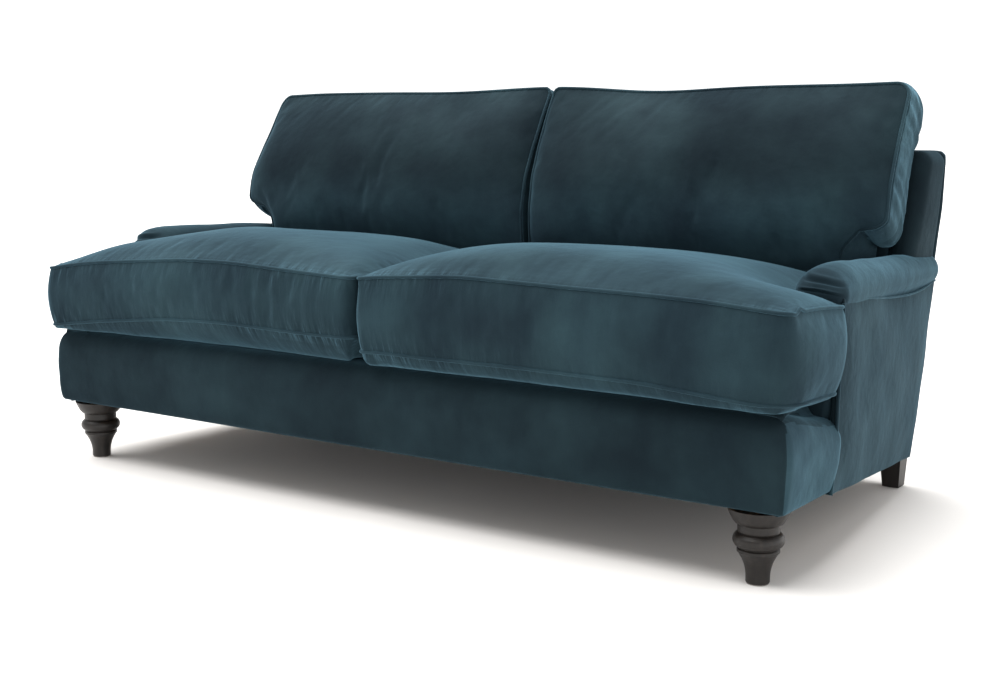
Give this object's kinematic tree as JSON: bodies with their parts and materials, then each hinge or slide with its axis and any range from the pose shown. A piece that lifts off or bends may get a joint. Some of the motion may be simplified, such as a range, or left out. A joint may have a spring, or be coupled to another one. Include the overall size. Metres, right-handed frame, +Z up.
{
  "type": "sofa",
  "caption": "Upholstered roll-arm sofa with loose T-shaped seat cushions, loose back cushions, short turned wooden front legs and square rear legs.",
  "frame": {"origin": "on the floor, at the middle of the sofa's bounding box seen from above", "axes": "+X towards the sitter's left, which is the right-hand end seen from the front; +Y towards the back of the sofa; +Z up"},
  "size_m": [1.956, 0.9497, 0.911],
  "materials": {
    "velvet": "soft cotton velvet, deep petrol blue, brushed pile with darker and lighter patches",
    "piping": "velvet cut on the bias round a cord, deep petrol blue",
    "leg_wood": "turned hardwood, near-black brown stain, satin lacquer",
    "frame_wood": "planed softwood and birch, bare",
    "steel": "zinc plated spring steel",
    "glide": "moulded nylon, matt",
    "zip": "nylon coil zip on black tape",
    "hessian": "plain woven jute, bare",
    "webbing": "elastic webbing, black with a ribbed weave",
    "felt": "needled felt, off-white",
    "foam": "foam block with a fibre wrap, cream",
    "filling": "feather and fibre filling in a cotton inner case, off-white",
    "dust_cloth": "spun black dust cloth"
  },
  "bodies": {
    "root": {"front_rail": "frame_wood", "rear_rail": "frame_wood", "spring_rail": "frame_wood", "side_rail_left": "frame_wood", "side_rail_right": "frame_wood", "centre_rail": "frame_wood", "corner_blocks": "frame_wood", "arm_post_left": "frame_wood", "arm_post_right": "frame_wood", "arm_top_rail_left": "frame_wood", "arm_top_rail_right": "frame_wood", "arm_tack_rails": "frame_wood", "back_post_left": "frame_wood", "back_post_right": "frame_wood", "back_top_rail": "frame_wood", "back_tack_rail": "frame_wood", "back_upright": "frame_wood", "seat_springs": "steel", "spring_clips": "steel", "back_webbing": "webbing", "seat_hessian": "hessian", "deck_pad": "felt", "deck_cloth": "velvet", "dust_cover": "dust_cloth", "front_border": "velvet", "arm_pad_left": "velvet", "arm_pad_right": "velvet", "arm_facing_left": "velvet", "arm_facing_right": "velvet", "arm_panel_left": "velvet", "arm_panel_right": "velvet", "arm_welts": "piping", "inside_back": "velvet", "back_end_left": "velvet", "back_end_right": "velvet", "outside_back": "velvet", "leg_front_left": "leg_wood", "leg_front_right": "leg_wood", "leg_rear_left": "leg_wood", "leg_rear_right": "leg_wood", "leg_glides": "glide", "leg_bolts": "steel", "leg_nuts": "steel"},
    "seat_cushion_left": {"seat_cover_left": "velvet", "seat_core_left": "foam", "seat_piping_left": "piping", "seat_zip_left": "zip"},
    "seat_cushion_right": {"seat_cover_right": "velvet", "seat_core_right": "foam", "seat_piping_right": "piping", "seat_zip_right": "zip"},
    "back_cushion_left": {"back_cover_left": "velvet", "back_fill_left": "filling", "back_piping_left": "piping", "back_zip_left": "zip"},
    "back_cushion_right": {"back_cover_right": "velvet", "back_fill_right": "filling", "back_piping_right": "piping", "back_zip_right": "zip"}
  },
  "joints": [
    {"name": "seat_left_pull_out", "type": "slide", "parent": "root", "child": "seat_cushion_left", "axis": [0, -0.9997, 0.0262], "range_m": [0, 0.75]},
    {"name": "seat_right_pull_out", "type": "slide", "parent": "root", "child": "seat_cushion_right", "axis": [0, -0.9997, 0.0262], "range_m": [0, 0.75]},
    {"name": "back_left_lift_off", "type": "slide", "parent": "root", "child": "back_cushion_left", "axis": [0, 0, 1], "range_m": [0, 0.5]},
    {"name": "back_right_lift_off", "type": "slide", "parent": "root", "child": "back_cushion_right", "axis": [0, 0, 1], "range_m": [0, 0.5]}
  ]
}
